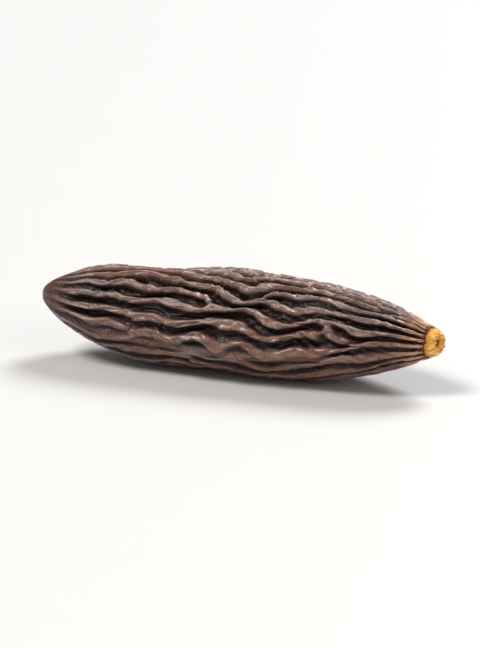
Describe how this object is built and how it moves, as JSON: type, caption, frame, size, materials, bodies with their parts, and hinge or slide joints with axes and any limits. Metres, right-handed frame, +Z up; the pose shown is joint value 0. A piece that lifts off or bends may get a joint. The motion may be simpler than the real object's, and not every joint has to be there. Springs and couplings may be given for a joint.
{
  "type": "tonka bean",
  "caption": "Dried tonka bean: a long, slightly bent dark seed with branching lengthwise wrinkles and a small pale scar at its tapered end, resting on a flat spot.",
  "frame": {"origin": "under the middle of the bean's bounding box, on the surface it rests on", "axes": "+X along the bean from its blunt end to the tapered end with the scar, +Y across its width, +Z up through its thickness"},
  "size_m": [0.033, 0.0094, 0.0077],
  "materials": {
    "bean_skin": "satin"
  },
  "bodies": {
    "root": {"tonka_bean": "bean_skin"}
  },
  "joints": []
}
